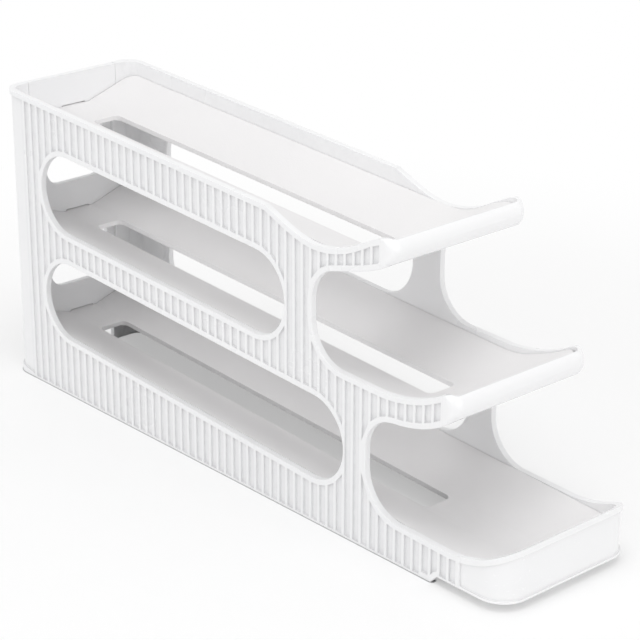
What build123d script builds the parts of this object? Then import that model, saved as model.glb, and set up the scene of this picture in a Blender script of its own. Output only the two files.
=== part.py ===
from build123d import *
from math import atan, degrees
import os

# Three sloping egg tracks, one above the other, held between two fluted side panels.
# +X points to the front where the eggs come to rest, +Z is up, the base stands on Z = 0.
# Side-view sizes are measured from the back face (u) and from the table (z).

length = 310.0
width = 72.0
height = 134.0
wall = 2.8
gap = 0.3
side_gap = 0.15

# Tiers: the lowest is 0 and the highest is 2. All floors fall to the front by the same slope.
edge_height = 29.2
back_rim_rise = 6.4
tier_pitch = (height - edge_height - back_rim_rise) / 2
tier_slope_share = 0.0485
front_setbacks = (0.0, 27.15, 61.1)
front_faces = [length - setback for setback in front_setbacks]
front_corner_radii = (11.8, 7.0, 7.0)
wrap_lengths = (22.7, 6.8, 6.8)
seams = [face - wrap for face, wrap in zip(front_faces, wrap_lengths)]
zone_drop = 20.0
zone_height = 46.0

# Side panel outline. A curve's points are (back from its front face, up from its track edge).
back_corner_radius = 8.2
return_depth = 12.2
foot_setback = 38.0
notch_length = 3.4
skirt_lift = 3.5
rim_slope_share = 0.0475
swoop_back = 71.4
swoop_curve = ((58.6, 2.3), (45.2, -0.2), (33.8, 1.2), (22.8, 5.3), (12.9, 10.8))
arm_curves = {
    1: ((31.9, -7.9), (16.9, -4.2), (6.9, 0.7)),
    2: ((31.5, -7.4), (17.5, -2.8), (7.5, 1.3)),
}
arm_slope_shares = {1: 0.18, 2: 0.27}
rim_curves = {
    0: ((9.0, 6.3), (18.0, 2.8), (34.0, 0.5)),
    1: ((7.3, 12.9), (16.9, 8.0), (26.9, 4.6), (38.9, 2.5)),
}
bar_low = 5.9
bar_highs = (11.0, 16.6, 15.1)
bar_round = 4.4

# Openings in the sides.
window_start = 26.8
pillar_widths = (12.6, 15.8)
beam_height = 13.4
window_height = tier_pitch - beam_height
bay_depths = (47.35, 44.5)
bay_backs = [front_faces[tier + 1] - bay_depths[tier] for tier in range(2)]
bay_rises = (-0.5, 1.4)
bay_low_radius_share = 0.47
bay_high_radius = 15.6

# Flutes on the outside of the side panels.
flute_pitch = 4.825
flute_width = 3.2
flute_depth = 0.9
flute_start = 17.9
flute_count = int((seams[0] - flute_start) / flute_pitch) + 1
flute_border = 2.4
flute_foot_border = 0.9

# Tracks. The two upper ones curl up to their bars: their edges stay under the panels' rims,
# while the middle of the trough climbs a steeper curve. Both are drawn like the curves above.
trough_depth = 8.2
centre_width = 16.0
floor_thickness = 2.2
scoop_back = 44.0
scoop_edge_curves = {
    1: ((33.8, 0.8), (22.8, 4.6), (13.4, 8.9), (7.3, 12.0), (3.1, 12.7)),
    2: ((33.8, 0.8), (22.8, 4.9), (12.9, 10.2), (7.3, 11.8), (3.1, 12.3)),
}
scoop_middle_curve = ((33.8, -7.4), (22.8, -3.3), (12.9, 2.1), (3.1, 6.8))
scoop_edge_slope_share = 0.1
scoop_middle_slope_share = 0.5
slot_width = 14.0
slot_start = 26.0
slot_setbacks = (70.0, 41.9, 41.9)
slot_radius = 3.0
track_start = wall + gap
tab_width = 12.0
tab_recess = 0.4

# Skirts under the tracks stand on ledges, and barbed tongues below them snap through slots.
skirt_width = 2.0
skirt_height = 4.2
skirt_backs = (52.0, 50.0, 50.0)
ledge_start = 16.0
ledge_width = 4.0
ledge_thickness = 1.6
tongue_width = 1.4
tongue_length = 9.0
tongue_height = 4.8
barb_reach = 0.5
barb_height = 2.0
tongue_place_shares = (0.1, 0.45, 0.8)

# Laps inside the panels carry the front pieces, each with a peg in a blind hole.
lap_thickness = 1.6
lap_reach = 9.0
lap_root = 1.0
lap_heights = (4.6, 3.0, 3.0)
lap_rises = (-9.4, 2.4, 2.4)
peg_radius = 1.2
peg_height = 0.8
peg_setback = 5.0

# Back panel.
back_lap_width = 7.2
back_lap_reach = 3.6
back_lap_gap_above = 2.6
back_lap_gap_below = 8.8
back_window_width = 32.0
back_beam_height = 22.2
back_window_rise = 5.3
back_window_radius = 7.0
arch_width = 36.0
arch_height = 12.0

# Bands round the tray front.
band_height = 2.6
foot_band_height = 1.0
band_depth = 0.8

os.makedirs("parts", exist_ok=True)

inner_half = width / 2 - wall
track_half = inner_half - side_gap
plan = Plane(origin=(-length / 2, 0, 0))


def side_plane(y):
    """Side elevation placed at y: its local X is u, its local Y is z, its normal is -Y."""
    return Plane(origin=(-length / 2, y, 0), x_dir=(1, 0, 0), z_dir=(0, -1, 0))


def edge_at(tier, u):
    """Height of a tier's track edge at the distance u from the back face."""
    return edge_height + tier_pitch * tier - tier_slope_share * u


def from_face(tier, back, rise):
    """Point of the side view, taken from a tier's front face and its track edge."""
    u = front_faces[tier] - back
    return (u, edge_at(tier, u) + rise)


def bay_top(tier):
    """Sharp corner between a bay's rear edge and the arm above it."""
    start = from_face(tier + 1, *arm_curves[tier + 1][0])
    run = start[0] - bay_backs[tier]
    return (bay_backs[tier], start[1] - arm_slope_shares[tier + 1] * run)


def bay_bottom(tier):
    """Sharp corner between a bay's rear edge and the rim in front of it."""
    return (bay_backs[tier], edge_at(tier, bay_backs[tier]) + bay_rises[tier])


def profile_edges():
    """Closed outline of the whole rack in the side view."""
    rim_end = (0, height)
    swoop = [from_face(2, *point) for point in swoop_curve]
    swoop_u = front_faces[2] - swoop_back
    swoop_start = (swoop_u, height - rim_slope_share * swoop_u)
    with BuildLine() as outline:
        Line((0, 0), rim_end)
        Line(rim_end, swoop_start)
        Spline(swoop_start, *swoop, from_face(2, 0, bar_highs[2]))
        for tier in (2, 1):
            arm = [from_face(tier, *point) for point in arm_curves[tier]]
            rim = [from_face(tier - 1, *point) for point in rim_curves[tier - 1]]
            Line(from_face(tier, 0, bar_highs[tier]), from_face(tier, 0, bar_low))
            Spline(from_face(tier, 0, bar_low), *reversed(arm))
            Line(arm[0], bay_top(tier - 1))
            Line(bay_top(tier - 1), bay_bottom(tier - 1))
            Line(bay_bottom(tier - 1), rim[-1])
            Spline(*reversed(rim), from_face(tier - 1, 0, bar_highs[tier - 1]))
        Line(from_face(0, 0, bar_highs[0]), (length, skirt_lift))
        foot_end = length - foot_setback
        Polyline((length, skirt_lift), (foot_end + notch_length, skirt_lift), (foot_end, 0), (0, 0))
    return outline.edges()


def profile_face():
    """The whole side view as one face, its bays round at the rear and its bars at the front."""
    with BuildSketch() as face:
        make_face(profile_edges())
        for tier in (1, 2):
            for rise in (bar_low, bar_highs[tier]):
                fillet(face.vertices().sort_by_distance(from_face(tier, 0, rise))[0], bar_round)
        for tier in range(2):
            bay_height = bay_top(tier)[1] - bay_bottom(tier)[1]
            high_corner = face.vertices().sort_by_distance(bay_top(tier))[0]
            fillet(high_corner, bay_high_radius)
            low_corner = face.vertices().sort_by_distance(bay_bottom(tier))[0]
            fillet(low_corner, bay_low_radius_share * bay_height)
    return face.sketch


def front_zone(tier):
    """Area of the side view that belongs to a tier's front piece."""
    with BuildSketch() as zone:
        with Locations((seams[tier], edge_at(tier, seams[tier]) - zone_drop)):
            Rectangle(length, zone_height, align=(Align.MIN, Align.MIN))
    return zone.sketch


def windows():
    """Slot windows of the two lower tiers, parallel to their tracks."""
    tilt = -degrees(atan(tier_slope_share))
    with BuildSketch() as slots:
        for tier in range(2):
            window_end = bay_backs[tier] - pillar_widths[tier]
            middle = (window_start + window_end) / 2
            span = window_end - window_start - window_height
            with Locations((middle, edge_at(tier, middle) + window_height / 2)):
                SlotCenterToCenter(span, window_height, rotation=tilt)
    return slots.sketch


def panel_face():
    """Side view of one side panel: the outline less its windows and front pieces."""
    with BuildSketch() as face:
        add(profile_face())
        add(windows(), mode=Mode.SUBTRACT)
        for tier in range(3):
            add(front_zone(tier), mode=Mode.SUBTRACT)
    return face.sketch


def flute_face():
    """Upright strips that fill the panel up to a plain border, each with straight ends."""
    foot_run = length - foot_setback - flute_border
    with BuildSketch() as whole:
        add(profile_face())
        add(windows(), mode=Mode.SUBTRACT)
        offset(amount=-flute_border, mode=Mode.REPLACE)
    with BuildSketch() as strips:
        for number in range(flute_count):
            with Locations((flute_start + flute_pitch * number, height / 2)):
                Rectangle(flute_width, height)
        add(whole.sketch, mode=Mode.INTERSECT)
        for number in range(flute_count):
            flute_u = flute_start + flute_pitch * number
            on_foot = flute_u + flute_width / 2 < foot_run
            foot = flute_foot_border if on_foot else skirt_lift + flute_foot_border
            if on_foot or flute_u - flute_width / 2 > foot_run + notch_length + flute_border:
                with Locations((flute_u, foot)):
                    Rectangle(flute_width, 2 * flute_border, align=(Align.CENTER, Align.MIN))
        for tier in range(3):
            add(front_zone(tier), mode=Mode.SUBTRACT)
    with BuildSketch() as grooves:
        for strip in strips.faces():
            corners = [edge @ 0 for edge in strip.outer_wire().order_edges()]
            with BuildLine():
                Polyline(*corners, close=True)
            make_face()
    return grooves.sketch


def corner_face(inset):
    """Plan of the left rear corner, out to the return's edge, set in from the outer skin."""
    with BuildSketch() as face:
        with Locations((inset, inset - width / 2)):
            Rectangle(length, return_depth, align=(Align.MIN, Align.MIN))
        corner = face.vertices().sort_by_distance((inset, inset - width / 2))[0]
        fillet(corner, back_corner_radius - inset)
    return face.sketch


def band(tier, start, end, top, bottom):
    """Side-view strip along a tier's slope, between two heights taken from its track edge."""
    with BuildSketch() as strip:
        with BuildLine():
            Polyline(
                (start, edge_at(tier, start) + bottom),
                (end, edge_at(tier, end) + bottom),
                (end, edge_at(tier, end) + top),
                (start, edge_at(tier, start) + top),
                close=True,
            )
        make_face()
    return strip.sketch


def skirt_band(tier, top, bottom):
    """Side view of what runs along a track's skirt."""
    return band(tier, ledge_start, front_faces[tier] - skirt_backs[tier], top, bottom)


def tongue_bands(tier, top, bottom, clearance):
    """Side-view places of the snap tongues of one track."""
    with BuildSketch() as bands:
        for share in tongue_place_shares:
            start = ledge_start + share * (front_faces[tier] - skirt_backs[tier] - ledge_start)
            add(band(tier, start - clearance, start + tongue_length + clearance, top, bottom))
    return bands.sketch


def lap_floor(tier):
    """Height of the lower edge of a front piece's lap."""
    return edge_at(tier, seams[tier]) + lap_rises[tier]


def peg_centre(tier):
    """Side-view centre of the peg on a front piece's lap."""
    return (seams[tier] - peg_setback, lap_floor(tier) + lap_heights[tier] / 2)


# Left side panel: a fluted plate that turns round the back corner in a smooth upright roll.
# Inside it has a slotted ledge for each track and a blind hole for each front piece's peg.
tongue_inset = (skirt_width - tongue_width) / 2
with BuildPart() as left_side_panel:
    with BuildSketch(side_plane(-width / 2)):
        add(panel_face())
    extrude(amount=-return_depth)
    with BuildSketch(plan):
        add(corner_face(0))
        add(corner_face(wall), mode=Mode.SUBTRACT)
    extrude(amount=height, mode=Mode.INTERSECT)
    with BuildSketch(side_plane(-width / 2)):
        add(flute_face())
    extrude(amount=-flute_depth, mode=Mode.SUBTRACT)
    with BuildSketch(side_plane(-inner_half)):
        for tier in range(3):
            add(skirt_band(tier, -skirt_height, -skirt_height - ledge_thickness))
    extrude(amount=-ledge_width)
    with BuildSketch(side_plane(tongue_inset - side_gap - track_half)):
        for tier in range(3):
            add(tongue_bands(tier, 0, -skirt_height - tongue_height, gap))
    extrude(amount=-tongue_width - 2 * side_gap, mode=Mode.SUBTRACT)
    with BuildSketch(side_plane(-inner_half)):
        for tier in range(3):
            with Locations(peg_centre(tier)):
                Circle(peg_radius + side_gap)
    extrude(amount=peg_height + side_gap, mode=Mode.SUBTRACT)

left_side_panel.part.label = "left_side_panel"
export_step(left_side_panel.part, "parts/left_side_panel.step")

# Right side panel: the same moulding in mirror image.
with BuildPart() as right_side_panel:
    add(mirror(left_side_panel.part, about=Plane.XZ, mode=Mode.PRIVATE))

right_side_panel.part.label = "right_side_panel"
export_step(right_side_panel.part, "parts/right_side_panel.step")


def track_end(tier):
    """Distance of a track's front end from the back face."""
    return front_faces[tier] - wall - gap


def track_strip(tier, drop, scoop, end_slope_share):
    """Side view of a track's floor along one line of its trough, drop below the track edge."""
    slopes = ((1, -tier_slope_share), (1, end_slope_share))
    start = (track_start, edge_at(tier, track_start) - drop)
    if tier == 0:
        curve = [(track_end(tier), edge_at(tier, track_end(tier)) - drop)]
    else:
        curve = [from_face(tier, *point) for point in scoop]
    bend = from_face(tier, scoop_back, -drop)
    low_curve = [(u, z - floor_thickness) for u, z in curve]
    low_bend = (bend[0], bend[1] - floor_thickness)
    with BuildSketch() as strip:
        with BuildLine():
            Line(start, bend)
            if tier == 0:
                Line(bend, curve[0])
                Line(low_bend, low_curve[0])
            else:
                Spline(bend, *curve, tangents=slopes)
                Spline(low_bend, *low_curve, tangents=slopes)
            Line(curve[-1], low_curve[-1])
            Line(low_bend, (start[0], start[1] - floor_thickness))
            Line((start[0], start[1] - floor_thickness), start)
        make_face()
    return strip.sketch


def edge_strip(tier):
    """Side view of a track's floor along its outer edge."""
    return track_strip(tier, 0, scoop_edge_curves.get(tier), scoop_edge_slope_share)


def middle_strip(tier):
    """Side view of a track's floor along the middle of its trough."""
    return track_strip(tier, trough_depth, scoop_middle_curve, scoop_middle_slope_share)


def track_plan(tier):
    """Plan of a track, its corners as round as those of the panels and front pieces round it."""
    run = track_end(tier) - track_start
    with BuildSketch() as outline:
        with Locations((track_start, 0)):
            Rectangle(run, 2 * track_half, align=(Align.MIN, Align.CENTER))
        fillet(outline.vertices().group_by(Axis.X)[0], back_corner_radius - wall)
        fillet(outline.vertices().group_by(Axis.X)[-1], front_corner_radii[tier] - wall)
    return outline.sketch


def slot_plan(tier):
    """Plan of the open slot between a track's rails."""
    run = front_faces[tier] - slot_setbacks[tier] - slot_start
    with BuildSketch() as outline:
        with Locations((slot_start + run / 2, 0)):
            RectangleRounded(run, slot_width, slot_radius)
    return outline.sketch


def build_track(tier):
    """One track: two rails that fall to a flat centre, with an open slot between them."""
    barb_top = -skirt_height - ledge_thickness - side_gap
    with BuildPart() as track:
        with BuildSketch(side_plane(-track_half)):
            add(edge_strip(tier))
        with BuildSketch(side_plane(-centre_width / 2)):
            add(middle_strip(tier))
        loft(ruled=True)
        with BuildSketch(side_plane(-track_half)):
            add(skirt_band(tier, -floor_thickness / 2, -skirt_height))
        extrude(amount=-skirt_width)
        with BuildSketch(side_plane(tongue_inset - track_half)):
            add(tongue_bands(tier, -skirt_height, -skirt_height - tongue_height, 0))
        extrude(amount=-tongue_width)
        with BuildSketch(side_plane(tongue_inset - track_half)):
            add(tongue_bands(tier, barb_top, barb_top - barb_height, 0))
        extrude(amount=-tongue_width - barb_reach)
        mirror(about=Plane.XZ)
        with BuildSketch(side_plane(-centre_width / 2)):
            add(middle_strip(tier))
        extrude(amount=-centre_width)
        with BuildSketch(plan):
            add(track_plan(tier))
            add(slot_plan(tier), mode=Mode.SUBTRACT)
        extrude(amount=height, mode=Mode.INTERSECT)
        with BuildSketch(side_plane(-tab_width / 2)):
            add(band(tier, tab_recess, slot_start / 2, -trough_depth, -trough_depth - floor_thickness))
        extrude(amount=-tab_width)
    return track.part


# The three tracks differ in length, and only the two upper ones curl up at the front.
bottom_track = build_track(0)
bottom_track.label = "bottom_track"
export_step(bottom_track, "parts/bottom_track.step")

middle_track = build_track(1)
middle_track.label = "middle_track"
export_step(middle_track, "parts/middle_track.step")

top_track = build_track(2)
top_track.label = "top_track"
export_step(top_track, "parts/top_track.step")


def front_plan(tier, inset):
    """Plan of a front piece with round front corners, set in from its outer skin."""
    with BuildSketch() as outline:
        Rectangle(front_faces[tier] - inset, width - 2 * inset, align=(Align.MIN, Align.CENTER))
        fillet(outline.vertices().group_by(Axis.X)[-1], front_corner_radii[tier] - inset)
    return outline.sketch


def wrap(tier, face, outer_inset, inner_inset):
    """Wall that follows a side-view face and turns round the front in plan."""
    with BuildPart() as shell:
        with BuildSketch(side_plane(-width / 2)):
            add(face)
            add(front_zone(tier), mode=Mode.INTERSECT)
        extrude(amount=-width)
        with BuildSketch(plan):
            add(front_plan(tier, outer_inset))
            add(front_plan(tier, inner_inset), mode=Mode.SUBTRACT)
        extrude(amount=height, mode=Mode.INTERSECT)
    return shell.part


def laps(tier):
    """Pair of laps that reach back inside the two panels, each with its peg."""
    with BuildPart() as pair:
        with BuildSketch(side_plane(-inner_half)):
            with Locations((seams[tier] - lap_reach, lap_floor(tier))):
                Rectangle(lap_reach + lap_root, lap_heights[tier], align=(Align.MIN, Align.MIN))
        extrude(amount=-lap_thickness)
        with BuildSketch(side_plane(-inner_half)):
            with Locations(peg_centre(tier)):
                Circle(peg_radius)
        extrude(amount=peg_height)
        mirror(about=Plane.XZ)
    return pair.part


def banded_face():
    """Side view of the tray front's raised bands, along its rim and its foot."""
    with BuildSketch() as sunk:
        with Locations((0, -band_height)):
            add(profile_face())
        with Locations((0, foot_band_height)):
            add(profile_face(), mode=Mode.INTERSECT)
    with BuildSketch() as face:
        add(profile_face())
        add(sunk.sketch, mode=Mode.SUBTRACT)
    return face.sketch


# Front pieces: each arm of the panels runs on into a bar that crosses the front.
with BuildPart() as top_front_bar:
    add(wrap(2, profile_face(), 0, wall))
    add(laps(2))

top_front_bar.part.label = "top_front_bar"
export_step(top_front_bar.part, "parts/top_front_bar.step")

with BuildPart() as middle_front_bar:
    add(wrap(1, profile_face(), 0, wall))
    add(laps(1))

middle_front_bar.part.label = "middle_front_bar"
export_step(middle_front_bar.part, "parts/middle_front_bar.step")

with BuildPart() as tray_front:
    add(wrap(0, profile_face(), band_depth, wall))
    add(wrap(0, banded_face(), 0, wall / 2))
    add(laps(0))

tray_front.part.label = "tray_front"
export_step(tray_front.part, "parts/tray_front.step")

# Back panel: fills the space between the side panels' returns and laps inside them.
back_view = Plane(origin=(-length / 2, 0, 0), x_dir=(0, -1, 0), z_dir=(-1, 0, 0))
back_half = width / 2 - return_depth - side_gap
lap_centre = back_half + back_lap_reach - back_lap_width / 2
back_window_height = tier_pitch - back_beam_height
with BuildPart() as back_panel:
    with BuildSketch(back_view):
        Rectangle(2 * back_half, height - rim_slope_share * wall, align=(Align.CENTER, Align.MIN))
        for tier in range(2):
            with Locations((0, edge_at(tier, 0) + back_window_rise + back_window_height / 2)):
                RectangleRounded(
                    back_window_width, back_window_height, back_window_radius, mode=Mode.SUBTRACT
                )
        RectangleRounded(arch_width, 2 * arch_height, back_window_radius, mode=Mode.SUBTRACT)
        for tier in range(3):
            tab_middle = edge_at(tier, wall / 2) - trough_depth - floor_thickness / 2
            with Locations((0, tab_middle)):
                Rectangle(tab_width + 2 * gap, floor_thickness + 2 * gap, mode=Mode.SUBTRACT)
    extrude(amount=-wall)
    with BuildSketch(back_view.offset(-wall)):
        for tier in range(2):
            low = edge_at(tier, 0) + back_lap_gap_above
            high = edge_at(tier + 1, 0) - back_lap_gap_below
            for side in (-1, 1):
                with Locations((side * lap_centre, (low + high) / 2)):
                    Rectangle(back_lap_width, high - low)
    extrude(amount=-lap_thickness)

back_panel.part.label = "back_panel"
export_step(back_panel.part, "parts/back_panel.step")
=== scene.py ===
import math

import bmesh
import bpy
from mathutils import Matrix, Vector


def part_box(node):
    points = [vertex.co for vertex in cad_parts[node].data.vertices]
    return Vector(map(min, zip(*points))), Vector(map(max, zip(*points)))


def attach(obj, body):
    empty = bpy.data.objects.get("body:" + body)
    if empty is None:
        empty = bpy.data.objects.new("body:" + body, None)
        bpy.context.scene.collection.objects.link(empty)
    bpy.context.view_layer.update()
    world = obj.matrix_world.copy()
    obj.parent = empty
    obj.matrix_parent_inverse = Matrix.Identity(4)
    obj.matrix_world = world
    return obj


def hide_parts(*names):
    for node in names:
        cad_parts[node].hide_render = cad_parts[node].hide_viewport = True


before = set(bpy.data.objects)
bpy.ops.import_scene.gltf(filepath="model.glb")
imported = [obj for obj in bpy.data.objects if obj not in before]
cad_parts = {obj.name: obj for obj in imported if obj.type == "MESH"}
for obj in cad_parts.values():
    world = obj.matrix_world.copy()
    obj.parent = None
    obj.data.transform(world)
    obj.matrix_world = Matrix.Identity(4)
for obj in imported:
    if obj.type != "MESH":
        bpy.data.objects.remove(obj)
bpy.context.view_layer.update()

# Side panels. Two mirror-image mouldings in white gloss polypropylene, fluted on the outside
# so that scratches and sink marks don't show, and each turned round its rear corner in one
# broad flute. Ledges along their inner faces carry the tracks.
panel_colour = (0.9, 0.9, 0.905, 1.0)
panel_shade = (0.872, 0.874, 0.882, 1.0)
panel_edge = 0.0003
soft_edge_steps = 3
facet_tolerance = math.radians(0.6)
sharp_corner = math.radians(28)
weld_distance = 1e-6
seam_tolerance = 2e-5
lap_reach = 0.009
flute_radius = 0.00042
flute_depth = 0.0009
panel_half = 0.036
upright_share = 0.98
seam_share = 0.05
front_pieces = ("top_front_bar", "middle_front_bar", "tray_front")
seams = [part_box(name)[0][0] + lap_reach for name in front_pieces]
rear, rim_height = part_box("left_side_panel")[0][0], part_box("left_side_panel")[1][2]
corner_turn = 0.0082
return_reach = 0.0122
return_gap = 0.0002
last_ridge = rear + 0.014675
return_rim = 0.0016
rim_border = 0.0024
rim_fall_share = 0.0475
foot_border = 0.0015
foot_rise_share = 0.17


def on_seam(edge):
    """Whether an edge lies in a plane where the panels meet a front piece or the back."""
    if all(
        vertex.co.x < rear + corner_turn
        and abs(abs(vertex.co.y) - panel_half + return_reach) < return_gap
        for vertex in edge.verts
    ):
        return True
    return any(
        all(abs(vertex.co.x - seam) < seam_tolerance for vertex in edge.verts) for seam in seams
    )


def on_flute(edge):
    """Whether an edge runs up a flute, along the top or the foot of its wall."""
    run = edge.verts[1].co - edge.verts[0].co
    if abs(run.z) < upright_share * run.length:
        return False
    for face in edge.link_faces:
        depths = [abs(vertex.co.y) for vertex in face.verts]
        if (abs(max(depths) - panel_half) < seam_tolerance
                and abs(min(depths) - panel_half + flute_depth) < seam_tolerance):
            return True
    return False


def off_corner(point):
    """Where a point lies from the line that the rear corner turns round, back and out."""
    back = min(0.0, point.x - rear - corner_turn)
    out = max(0.0, abs(point.y) - panel_half + corner_turn)
    return Vector((back, math.copysign(out, point.y)))


def corner_faces(skin):
    """The upright outer faces from the last ridge round the rear corner."""
    return [
        face for face in skin.faces
        if abs(face.normal.z) < 1.0 - upright_share
        and all(
            abs(off_corner(vertex.co).length - corner_turn) < seam_tolerance
            and vertex.co.x < last_ridge + seam_tolerance for vertex in face.verts
        )
    ]


def cut_faces(skin, faces, place, facing):
    """Split some faces along a plane."""
    edges = {edge for face in faces for edge in face.edges}
    vertices = {vertex for face in faces for vertex in face.verts}
    bmesh.ops.bisect_plane(
        skin, geom=[*faces, *edges, *vertices], dist=weld_distance, plane_co=place,
        plane_no=facing,
    )


def recess_corner(skin):
    """One broad flute round the rear corner, from the last ridge to the panel's rear edge."""
    foot = Vector((last_ridge, 0.0, foot_border))
    rim = Vector((rear, 0.0, rim_height - rim_border))
    side = math.copysign(1.0, sum(vertex.co.y for vertex in skin.verts))
    inner = panel_half - return_reach + return_rim
    cuts = (
        (Vector((0.0, side * inner, 0.0)), Vector((0.0, side, 0.0))),
        (foot, Vector((foot_rise_share, 0.0, 1.0))),
        (rim, Vector((-rim_fall_share, 0.0, -1.0))),
    )
    outer = [
        face for face in skin.faces
        if any(vertex.co.x < last_ridge for vertex in face.verts)
        and all(
            abs(off_corner(vertex.co).length - corner_turn) < seam_tolerance
            for vertex in face.verts
        )
    ]
    cut_faces(skin, outer, foot, Vector((1.0, 0.0, 0.0)))
    for place, facing in cuts:
        cut_faces(skin, corner_faces(skin), place, facing)
    floor = [
        face for face in corner_faces(skin)
        if all((face.calc_center_median() - place).dot(facing) > 0.0 for place, facing in cuts)
    ]
    sunk = bmesh.ops.extrude_face_region(skin, geom=floor)["geom"]
    for vertex in sunk:
        if isinstance(vertex, bmesh.types.BMVert):
            vertex.co -= off_corner(vertex.co).normalized().to_3d() * flute_depth
    bmesh.ops.delete(skin, geom=[face for face in floor if face.is_valid], context="FACES")


def moulded_copy(node, edge_radius, edge_steps, carve=None):
    """A node's shape as one closed skin, its corners eased as the mould eases them.

    Where two pieces meet flush, their edges stay crisp, so that the joint hardly shows.
    """
    skin = bmesh.new()
    skin.from_mesh(bpy.data.objects[node].data)
    bmesh.ops.remove_doubles(skin, verts=skin.verts, dist=weld_distance)
    bmesh.ops.dissolve_limit(
        skin, angle_limit=facet_tolerance, verts=skin.verts, edges=skin.edges
    )
    if carve:
        carve(skin)
    ease = skin.edges.layers.float.new("bevel_weight_edge")
    for edge in skin.edges:
        if edge.calc_face_angle(0.0) > sharp_corner:
            if on_seam(edge):
                edge[ease] = seam_share
            elif on_flute(edge):
                edge[ease] = 1.0
            else:
                edge[ease] = edge_radius / flute_radius
    mesh = bpy.data.meshes.new(node + "_moulding")
    skin.to_mesh(mesh)
    skin.free()
    mesh.shade_smooth()
    piece = bpy.data.objects.new(node + "_moulding", mesh)
    bpy.context.collection.objects.link(piece)
    easing = piece.modifiers.new("eased_corners", "BEVEL")
    easing.limit_method = "WEIGHT"
    easing.offset_type = "OFFSET"
    easing.width = flute_radius
    easing.segments = edge_steps
    easing.use_clamp_overlap = False
    easing.loop_slide = False
    weights = piece.modifiers.new("even_shading", "WEIGHTED_NORMAL")
    weights.keep_sharp = True
    return piece


def effect_group(name, inputs, outputs):
    """An empty shader node group with named sockets, and its input and output nodes."""
    group = bpy.data.node_groups.new(name, "ShaderNodeTree")
    for label, kind, value in inputs:
        socket = group.interface.new_socket(name=label, in_out="INPUT", socket_type=kind)
        if value is not None:
            socket.default_value = value
    for label, kind in outputs:
        group.interface.new_socket(name=label, in_out="OUTPUT", socket_type=kind)
    return group, group.nodes.new("NodeGroupInput"), group.nodes.new("NodeGroupOutput")


def noise(tree, detail):
    """A noise texture node of a given detail."""
    node = tree.nodes.new("ShaderNodeTexNoise")
    node.inputs["Detail"].default_value = detail
    return node


def remap(tree, low, high):
    """A node that spreads part of the 0 to 1 range over two output values."""
    node = tree.nodes.new("ShaderNodeMapRange")
    node.inputs["From Min"].default_value = low
    node.inputs["From Max"].default_value = high
    return node


# Mould skin: the faint orange peel of a polished steel mould and a slow wave from shrinkage.
mould_skin, given, made = effect_group(
    "mould_skin",
    [("Vector", "NodeSocketVector", None), ("Peel Scale", "NodeSocketFloat", 900.0),
     ("Wave Scale", "NodeSocketFloat", 45.0), ("Wave Share", "NodeSocketFloat", 0.6)],
    [("Height", "NodeSocketFloat")],
)
peel = noise(mould_skin, 2.0)
wave = noise(mould_skin, 1.0)
blend = mould_skin.nodes.new("ShaderNodeMix")
mould_skin.links.new(given.outputs["Vector"], peel.inputs["Vector"])
mould_skin.links.new(given.outputs["Vector"], wave.inputs["Vector"])
mould_skin.links.new(given.outputs["Peel Scale"], peel.inputs["Scale"])
mould_skin.links.new(given.outputs["Wave Scale"], wave.inputs["Scale"])
mould_skin.links.new(given.outputs["Wave Share"], blend.inputs["Factor"])
mould_skin.links.new(peel.outputs["Fac"], blend.inputs["A"])
mould_skin.links.new(wave.outputs["Fac"], blend.inputs["B"])
mould_skin.links.new(blend.outputs["Result"], made.inputs["Height"])

# Handling: patches where wiping has polished or dulled the gloss, and fine wiping scratches.
handling, given, made = effect_group(
    "handling",
    [("Vector", "NodeSocketVector", None), ("Patch Scale", "NodeSocketFloat", 22.0),
     ("Glossy", "NodeSocketFloat", 0.25), ("Dull", "NodeSocketFloat", 0.4),
     ("Scratch Depth", "NodeSocketFloat", 0.06)],
    [("Roughness", "NodeSocketFloat")],
)
patch = noise(handling, 3.0)
patch_range = remap(handling, 0.35, 0.65)
stretch = handling.nodes.new("ShaderNodeMapping")
stretch.inputs["Scale"].default_value = (35.0, 900.0, 1400.0)
scratch = noise(handling, 2.0)
scratch.inputs["Scale"].default_value = 1.0
scratch_range = remap(handling, 0.66, 0.74)
total = handling.nodes.new("ShaderNodeMath")
total.operation = "ADD"
total.use_clamp = True
handling.links.new(given.outputs["Vector"], patch.inputs["Vector"])
handling.links.new(given.outputs["Patch Scale"], patch.inputs["Scale"])
handling.links.new(patch.outputs["Fac"], patch_range.inputs["Value"])
handling.links.new(given.outputs["Glossy"], patch_range.inputs["To Min"])
handling.links.new(given.outputs["Dull"], patch_range.inputs["To Max"])
handling.links.new(given.outputs["Vector"], stretch.inputs["Vector"])
handling.links.new(stretch.outputs["Vector"], scratch.inputs["Vector"])
handling.links.new(scratch.outputs["Fac"], scratch_range.inputs["Value"])
handling.links.new(given.outputs["Scratch Depth"], scratch_range.inputs["To Max"])
handling.links.new(patch_range.outputs["Result"], total.inputs[0])
handling.links.new(scratch_range.outputs["Result"], total.inputs[1])
handling.links.new(total.outputs["Value"], made.inputs["Roughness"])

# Tone: the plastic's slight unevenness of colour, with painted shade that darkens corners and
# grooves where the occlusion node finds nearby surfaces, broken up by a fine speckle.
tone, given, made = effect_group(
    "tone",
    [("Vector", "NodeSocketVector", None), ("Colour", "NodeSocketColor", None),
     ("Shade", "NodeSocketColor", None), ("Painted Shade", "NodeSocketColor", (0.7, 0.7, 0.71, 1.0)),
     ("Painted Shade Share", "NodeSocketFloat", 0.1), ("Drift Scale", "NodeSocketFloat", 14.0),
     ("Corner Reach", "NodeSocketFloat", 0.004), ("Open", "NodeSocketFloat", 0.85),
     ("Closed", "NodeSocketFloat", 0.45)],
    [("Color", "NodeSocketColor")],
)
drift = noise(tone, 3.0)
drift_range = remap(tone, 0.3, 0.7)
drift_mix = tone.nodes.new("ShaderNodeMix")
drift_mix.data_type = "RGBA"
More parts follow.
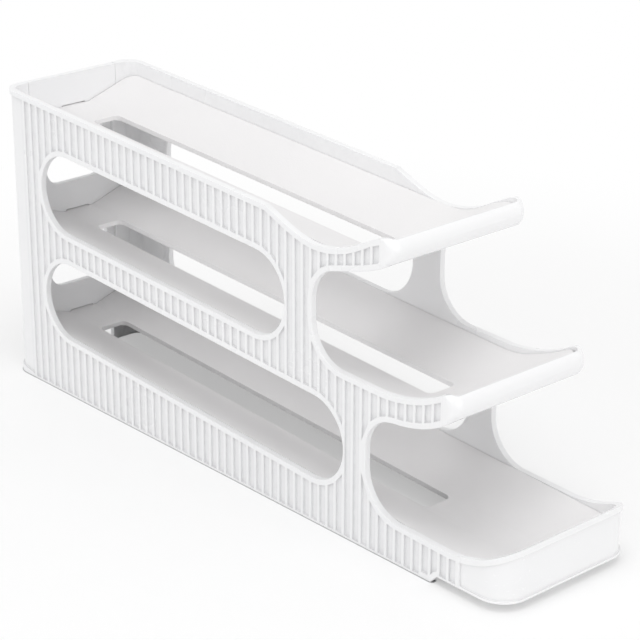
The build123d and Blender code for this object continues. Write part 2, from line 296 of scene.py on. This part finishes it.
# Painted shade: the occlusion within the corner reach, remapped from open to closed, moves the
# colour towards the painted shade colour.
corner = tone.nodes.new("ShaderNodeAmbientOcclusion")
corner.samples = 8
corner.only_local = True
corner_range = remap(tone, 0.0, 1.0)
speckle = noise(tone, 4.0)
speckle.inputs["Scale"].default_value = 260.0
speckle_range = remap(tone, 0.35, 0.6)
speckle_range.inputs["To Min"].default_value = 0.7
painted_shade_mask = tone.nodes.new("ShaderNodeMath")
painted_shade_mask.operation = "MULTIPLY"
share = tone.nodes.new("ShaderNodeMath")
share.operation = "MULTIPLY"
painted_shade_mix = tone.nodes.new("ShaderNodeMix")
painted_shade_mix.data_type = "RGBA"
tone.links.new(given.outputs["Vector"], drift.inputs["Vector"])
tone.links.new(given.outputs["Drift Scale"], drift.inputs["Scale"])
tone.links.new(drift.outputs["Fac"], drift_range.inputs["Value"])
tone.links.new(drift_range.outputs["Result"], drift_mix.inputs["Factor"])
tone.links.new(given.outputs["Colour"], drift_mix.inputs["A"])
tone.links.new(given.outputs["Shade"], drift_mix.inputs["B"])
tone.links.new(given.outputs["Corner Reach"], corner.inputs["Distance"])
tone.links.new(corner.outputs["AO"], corner_range.inputs["Value"])
tone.links.new(given.outputs["Open"], corner_range.inputs["From Min"])
tone.links.new(given.outputs["Closed"], corner_range.inputs["From Max"])
tone.links.new(given.outputs["Vector"], speckle.inputs["Vector"])
tone.links.new(speckle.outputs["Fac"], speckle_range.inputs["Value"])
tone.links.new(corner_range.outputs["Result"], painted_shade_mask.inputs[0])
tone.links.new(speckle_range.outputs["Result"], painted_shade_mask.inputs[1])
tone.links.new(painted_shade_mask.outputs["Value"], share.inputs[0])
tone.links.new(given.outputs["Painted Shade Share"], share.inputs[1])
tone.links.new(share.outputs["Value"], painted_shade_mix.inputs["Factor"])
tone.links.new(drift_mix.outputs["Result"], painted_shade_mix.inputs["A"])
tone.links.new(given.outputs["Painted Shade"], painted_shade_mix.inputs["B"])
tone.links.new(painted_shade_mix.outputs["Result"], made.inputs["Color"])


plastic_ior = 1.49
relief_height = 0.0002


def white_plastic(name, tone_values, handling_values, skin_values, skin_depth):
    """A white moulded plastic with its own skin, gloss and handling marks."""
    material = bpy.data.materials.new(name)
    material.use_nodes = True
    tree = material.node_tree
    shader = tree.nodes["Principled BSDF"]
    shader.inputs["IOR"].default_value = plastic_ior
    shader.inputs["Subsurface Weight"].default_value = 0.0
    place = tree.nodes.new("ShaderNodeTexCoord")
    placed = {}
    for group, values in (
        (tone, tone_values), (handling, handling_values), (mould_skin, skin_values)
    ):
        node = tree.nodes.new("ShaderNodeGroup")
        node.node_tree = group
        for label, value in values.items():
            node.inputs[label].default_value = value
        tree.links.new(place.outputs["Object"], node.inputs["Vector"])
        placed[group.name] = node
    relief = tree.nodes.new("ShaderNodeBump")
    relief.inputs["Strength"].default_value = skin_depth
    relief.inputs["Distance"].default_value = relief_height
    tree.links.new(placed["tone"].outputs["Color"], shader.inputs["Base Color"])
    tree.links.new(placed["handling"].outputs["Roughness"], shader.inputs["Roughness"])
    tree.links.new(placed["mould_skin"].outputs["Height"], relief.inputs["Height"])
    tree.links.new(relief.outputs["Normal"], shader.inputs["Normal"])
    return material


# Its tone paints strong shade into the flutes and the recessed rear corner, darkest where they
# are narrow and deep.
fluted_white = white_plastic(
    "fluted_white_plastic",
    {"Colour": panel_colour, "Shade": panel_shade, "Painted Shade Share": 0.9,
     "Corner Reach": 0.0025, "Open": 0.98, "Closed": 0.74},
    {"Patch Scale": 22.0, "Glossy": 0.26, "Dull": 0.38, "Scratch Depth": 0.05},
    {"Peel Scale": 900.0, "Wave Scale": 45.0, "Wave Share": 0.6}, 0.25,
)

for node in ("left_side_panel", "right_side_panel"):
    panel = moulded_copy(node, panel_edge, soft_edge_steps, recess_corner)
    panel.data.materials.append(fluted_white)
    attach(panel, "root")
    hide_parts(node)

# Back panel. A flat moulding that closes the rear between the panels' rolled corners. Its
# laps slide in behind them, and its windows and arch save weight and let the rack drain.
plain_white = white_plastic(
    "plain_white_plastic",
    {"Colour": (0.9, 0.9, 0.905, 1.0), "Shade": (0.875, 0.876, 0.884, 1.0)},
    {"Patch Scale": 16.0, "Glossy": 0.3, "Dull": 0.44, "Scratch Depth": 0.06},
    {"Peel Scale": 700.0, "Wave Scale": 30.0, "Wave Share": 0.7}, 0.2,
)
back = moulded_copy("back_panel", panel_edge, soft_edge_steps)
back.data.materials.append(plain_white)
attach(back, "root")
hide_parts("back_panel")

# Tracks. Three sloping troughs in the same plastic, with an open slot between their rails.
# Their upper faces have a finer satin texture, so that the load rolls down without sticking.
# The colour is greyer and warmer than the panels' white: painted shade with a warm painted
# reflection, as a load lying on the tracks would give.
satin_white = white_plastic(
    "satin_white_plastic",
    {"Colour": (0.862, 0.852, 0.854, 1.0), "Shade": (0.838, 0.829, 0.832, 1.0)},
    {"Patch Scale": 30.0, "Glossy": 0.42, "Dull": 0.55, "Scratch Depth": 0.08},
    {"Peel Scale": 1600.0, "Wave Scale": 60.0, "Wave Share": 0.35}, 0.35,
)
track_edge = 0.00022
for node in ("bottom_track", "middle_track", "top_track"):
    track = moulded_copy(node, track_edge, soft_edge_steps)
    track.data.materials.append(satin_white)
    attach(track, "root")
    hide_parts(node)

# Front bars. Two round-nosed lips that stop the load at the end of each upper track. They
# are smooth and glossy, and their ends turn back into the panels' arms, where pegs hold them.
# Its tone paints thin lines of shade into tight inside corners, such as along the feet of the
# tray's raised bands.
gloss_white = white_plastic(
    "gloss_white_plastic",
    {"Colour": (0.905, 0.905, 0.91, 1.0), "Shade": (0.89, 0.89, 0.897, 1.0),
     "Painted Shade Share": 0.8, "Corner Reach": 0.0015, "Open": 0.97, "Closed": 0.55},
    {"Patch Scale": 18.0, "Glossy": 0.16, "Dull": 0.27, "Scratch Depth": 0.07},
    {"Peel Scale": 500.0, "Wave Scale": 35.0, "Wave Share": 0.8}, 0.12,
)
bar_wall = 0.0028
bar_turn = 0.0049
outline_turn = 0.007
bar_ease = 0.0003
shoulder_radius = 0.003
shoulder_start = 0.4
flat_share = 0.45
side_steps = 2
turn_steps = 16
curve_steps = 10
lap_overlap = 0.001
peg_radius = 0.0012
peg_height = 0.0008
peg_setback = 0.005
peg_sides = 24


def corner_outline(node, face, half):
    """Lower and upper outline of a bar in the side view, read along its rounded corner."""
    centre = Vector((face - outline_turn, outline_turn - half))
    points = [
        (vertex.co.x, vertex.co.z) for vertex in bpy.data.objects[node].data.vertices
        if vertex.co.y < centre.y
        and abs((vertex.co.xy - centre).length - outline_turn) < seam_tolerance
    ]
    middle = sum(height for _, height in points) / len(points)
    lower = sorted(point for point in points if point[1] < middle)
    upper = sorted(point for point in points if point[1] > middle)
    return lower, upper


def height_on(outline, place):
    """Height of an outline at a place, between its two nearest points."""
    for (start, start_height), (end, end_height) in zip(outline, outline[1:]):
        if start <= place <= end and end > start:
            share = (place - start) / (end - start)
            return start_height + (end_height - start_height) * share
    return outline[0][1] if place < outline[0][0] else outline[-1][1]


def section_points(lower, upper, centre, turn, shoulder):
    """Section of a bar's wall at one turn of its corner, as (outward, up) points."""
    def place(outward):
        return centre + (bar_turn + outward) * math.sin(turn)

    face_low, face_high = height_on(lower, place(0.0)), height_on(upper, place(0.0))
    rounding = min(shoulder, flat_share * (face_high - face_low))
    top, bottom = [], []
    for step in range(curve_steps + 1):
        angle = math.pi / 2 * step / curve_steps
        outward = (bar_ease - bar_wall) * (1.0 - math.sin(angle))
        run = max(0.0, outward + rounding)
        drop = rounding - math.sqrt(max(0.0, rounding * rounding - run * run))
        top.append((outward, height_on(upper, place(outward)) - drop))
        bottom.append((outward, height_on(lower, place(outward)) + drop))
    inner = [(-bar_wall, bottom[0][1] + bar_ease), (-bar_wall, top[0][1] - bar_ease)]
    return inner + top + bottom[::-1]


def add_bar_wall(shape, node, face, half, seam):
    """The wall that comes forward from each panel, turns round and crosses the front."""
    lower, upper = corner_outline(node, face, half)
    centre = face - bar_turn
    half_path = [
        (seam + (centre - seam) * step / side_steps, 0.0) for step in range(side_steps)
    ] + [
        (centre, math.pi / 2 * step / turn_steps) for step in range(turn_steps + 1)
    ]
    shares = [step / (len(half_path) - 1) for step in range(len(half_path))]
    stations = [(-1, *place) for place in zip(shares, half_path)]
    stations += [(1, *place) for place in reversed(list(zip(shares, half_path)))]
    rings = []
    for side, share, (middle, turn) in stations:
        grown = min(1.0, share / shoulder_start)
        swell = grown * grown * (3.0 - 2.0 * grown)
        shoulder = bar_ease + (shoulder_radius - bar_ease) * swell
        points = section_points(lower, upper, middle, turn, shoulder)
        ring = bmesh.ops.create_circle(shape, segments=len(points), radius=bar_turn)["verts"]
        for vertex, (outward, up) in zip(ring, points):
            reach = bar_turn + outward
            vertex.co = (
                middle + reach * math.sin(turn),
                side * (half - bar_turn + reach * math.cos(turn)),
                up,
            )
        rings.append(ring)
    loops = [
        list({edge for vertex in ring for edge in vertex.link_edges}) for ring in rings
    ]
    for loop, following in zip(loops, loops[1:]):
        bmesh.ops.bridge_loops(shape, edges=loop + following)
    for end in (loops[0], loops[-1]):
        bmesh.ops.contextual_create(shape, geom=end)
        for edge in end:
            edge.smooth = False


def add_laps(shape, node, seam):
    """The two laps that reach back inside the panels, each with its peg."""
    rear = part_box(node)[0][0]
    corners = [
        vertex.co for vertex in bpy.data.objects[node].data.vertices
        if abs(vertex.co.x - rear) < seam_tolerance
    ]
    low, high = min(corner.z for corner in corners), max(corner.z for corner in corners)
    inner = min(abs(corner.y) for corner in corners)
    outer = max(abs(corner.y) for corner in corners)
    front = seam + lap_overlap
    for side in (-1, 1):
        lap = bmesh.ops.create_cube(shape, size=1.0)["verts"]
        bmesh.ops.scale(shape, verts=lap, vec=(front - rear, outer - inner, high - low))
        bmesh.ops.translate(
            shape, verts=lap,
            vec=((front + rear) / 2, side * (outer + inner) / 2, (high + low) / 2),
        )
        edges = list({edge for vertex in lap for edge in vertex.link_edges})
        bmesh.ops.bevel(
            shape, geom=edges, offset=bar_ease / 2, offset_type="OFFSET", segments=1,
            profile=0.5, affect="EDGES", clamp_overlap=True, material=-1,
        )
        peg = bmesh.ops.create_cone(
            shape, cap_ends=True, cap_tris=False, segments=peg_sides, radius1=peg_radius,
            radius2=peg_radius, depth=2 * peg_height,
        )["verts"]
        bmesh.ops.rotate(
            shape, verts=peg, cent=(0.0, 0.0, 0.0), matrix=Matrix.Rotation(math.pi / 2, 3, "X")
        )
        bmesh.ops.translate(
            shape, verts=peg, vec=(seam - peg_setback, side * outer, (high + low) / 2)
        )


for node in ("top_front_bar", "middle_front_bar"):
    lowest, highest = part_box(node)
    seam = lowest[0] + lap_reach
    shape = bmesh.new()
    add_bar_wall(shape, node, highest[0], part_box("tray_front")[1][1], seam)
    bmesh.ops.recalc_face_normals(shape, faces=shape.faces)
    add_laps(shape, node, seam)
    mesh = bpy.data.meshes.new(node + "_moulding")
    shape.to_mesh(mesh)
    shape.free()
    mesh.shade_smooth()
    bar = bpy.data.objects.new(node + "_moulding", mesh)
    bpy.context.collection.objects.link(bar)
    weights = bar.modifiers.new("even_shading", "WEIGHTED_NORMAL")
    weights.keep_sharp = True
    bar.data.materials.append(gloss_white)
    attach(bar, "root")
    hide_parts(node)

# Tray front. The low wall round the end of the bottom track, where the load is picked up.
# A raised band follows its rim, and a thinner one its foot.
tray_edge = 0.0003
tray = moulded_copy("tray_front", tray_edge, soft_edge_steps)
tray.data.materials.append(gloss_white)
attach(tray, "root")
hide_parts("tray_front")

# Camera. Where the photographer stood: in front of the left corner, a little above.
azimuth = math.radians(48.21)
elevation = math.radians(22.24)
roll = math.radians(0.14)
camera = bpy.data.objects.new("camera", bpy.data.cameras.new("camera"))
bpy.context.collection.objects.link(camera)
camera.data.sensor_width = 36.0
camera.data.lens = 126.3
camera.data.clip_start = 0.05
camera.location = (0.6453, -0.5640, 0.4116)
camera.rotation_euler = (math.pi / 2 - elevation, 0.0, azimuth)
camera.rotation_euler.rotate_axis("Z", roll)
bpy.context.scene.camera = camera
bpy.context.scene.view_settings.view_transform = "Standard"

# Studio. An even white surround, three large soft lamps, above, in front and at the side, and
# a white floor that keeps the rack's shadow.
surround_strength = 0.72
rack_middle = (0.0, 0.0, 0.05)
rack_side = (0.0, 0.0, 0.06)


def looked_at(tree):
    """Where a ray comes from the camera, or by way of something shiny or clear."""
    ray = tree.nodes.new("ShaderNodeLightPath")
    total = ray.outputs["Is Camera Ray"]
    for label in ("Is Glossy Ray", "Is Transmission Ray"):
        add = tree.nodes.new("ShaderNodeMath")
        add.operation = "ADD"
        add.use_clamp = True
        tree.links.new(total, add.inputs[0])
        tree.links.new(ray.outputs[label], add.inputs[1])
        total = add.outputs["Value"]
    return total


surround = bpy.data.worlds.new("studio")
bpy.context.scene.world = surround
surround.use_nodes = True
sky = surround.node_tree
light = sky.nodes["Background"]
light.inputs["Color"].default_value = (1.0, 1.0, 1.0, 1.0)
light.inputs["Strength"].default_value = surround_strength
backdrop = sky.nodes.new("ShaderNodeBackground")
backdrop.inputs["Color"].default_value = (1.0, 1.0, 1.0, 1.0)
backdrop.inputs["Strength"].default_value = 1.0
seen = sky.nodes.new("ShaderNodeMixShader")
sky.links.new(looked_at(sky), seen.inputs[0])
sky.links.new(light.outputs[0], seen.inputs[1])
sky.links.new(backdrop.outputs[0], seen.inputs[2])
sky.links.new(seen.outputs[0], sky.nodes["World Output"].inputs["Surface"])


def softbox(name, place, aim, size, power):
    """A square studio lamp that points at a spot."""
    lamp = bpy.data.objects.new(name, bpy.data.lights.new(name, "AREA"))
    bpy.context.collection.objects.link(lamp)
    lamp.data.size = size
    lamp.data.energy = power
    lamp.location = place
    lamp.rotation_euler = (Vector(aim) - Vector(place)).to_track_quat("-Z", "Y").to_euler()


softbox("overhead_softbox", (0.35, -0.25, 1.4), rack_middle, 0.8, 5.2)
softbox("front_softbox", (1.5, 0.1, 0.5), rack_middle, 0.8, 2.8)
softbox("side_softbox", (-0.2, -1.5, 0.6), rack_side, 0.7, 3.1)

# The floor. White paper that glows where it is looked at, so that it reads as one white with
# the backdrop, but less round the rack, where it keeps the rack's shadow. Along the rack's foot
# a thin line of painted contact shadow darkens the paper's colour and dims its glow.
floor_size = 8.0
contact_reach = 0.0012
slab = bmesh.new()
bmesh.ops.create_grid(slab, x_segments=1, y_segments=1, size=floor_size / 2)
floor_mesh = bpy.data.meshes.new("floor")
slab.to_mesh(floor_mesh)
slab.free()
floor = bpy.data.objects.new("floor", floor_mesh)
bpy.context.collection.objects.link(floor)
floor_white = bpy.data.materials.new("floor_white")
floor_white.use_nodes = True
paper = floor_white.node_tree
paper_shader = paper.nodes["Principled BSDF"]
paper_shader.inputs["Roughness"].default_value = 0.9
# Painted contact shadow: the occlusion node darkens the paper towards grey within about a
# millimetre of the rack.
contact = paper.nodes.new("ShaderNodeAmbientOcclusion")
contact.samples = 16
contact.inputs["Distance"].default_value = contact_reach
contact_range = paper.nodes.new("ShaderNodeMapRange")
contact_range.inputs["From Min"].default_value = 0.5
contact_range.inputs["From Max"].default_value = 0.85
painted_contact_shadow = paper.nodes.new("ShaderNodeMix")
painted_contact_shadow.data_type = "RGBA"
painted_contact_shadow.inputs["A"].default_value = (0.42, 0.42, 0.43, 1.0)
painted_contact_shadow.inputs["B"].default_value = (0.96, 0.96, 0.96, 1.0)
paper.links.new(contact.outputs["AO"], contact_range.inputs["Value"])
paper.links.new(contact_range.outputs["Result"], painted_contact_shadow.inputs["Factor"])
paper.links.new(painted_contact_shadow.outputs["Result"], paper_shader.inputs["Base Color"])
glow = paper.nodes.new("ShaderNodeEmission")
glow.inputs["Strength"].default_value = 1.0
spot = paper.nodes.new("ShaderNodeTexCoord")
reach = paper.nodes.new("ShaderNodeVectorMath")
reach.operation = "LENGTH"
fade = paper.nodes.new("ShaderNodeMapRange")
fade.interpolation_type = "SMOOTHSTEP"
fade.inputs["From Min"].default_value = 0.16
fade.inputs["From Max"].default_value = 0.42
fade.inputs["To Min"].default_value = 0.38
fade.inputs["To Max"].default_value = 1.0
paper.links.new(spot.outputs["Object"], reach.inputs[0])
paper.links.new(reach.outputs["Value"], fade.inputs["Value"])
glow_share = paper.nodes.new("ShaderNodeMath")
glow_share.operation = "MULTIPLY"
paper.links.new(fade.outputs["Result"], glow_share.inputs[1])
paper_mix = paper.nodes.new("ShaderNodeMixShader")
glow_left = paper.nodes.new("ShaderNodeMath")
glow_left.operation = "MULTIPLY"
paper.links.new(looked_at(paper), glow_left.inputs[0])
paper.links.new(contact_range.outputs["Result"], glow_left.inputs[1])
paper.links.new(glow_left.outputs["Value"], glow_share.inputs[0])
paper.links.new(glow_share.outputs["Value"], paper_mix.inputs[0])
paper.links.new(paper_shader.outputs[0], paper_mix.inputs[1])
paper.links.new(glow.outputs[0], paper_mix.inputs[2])
paper.links.new(paper_mix.outputs[0], paper.nodes["Material Output"].inputs["Surface"])
floor.data.materials.append(floor_white)
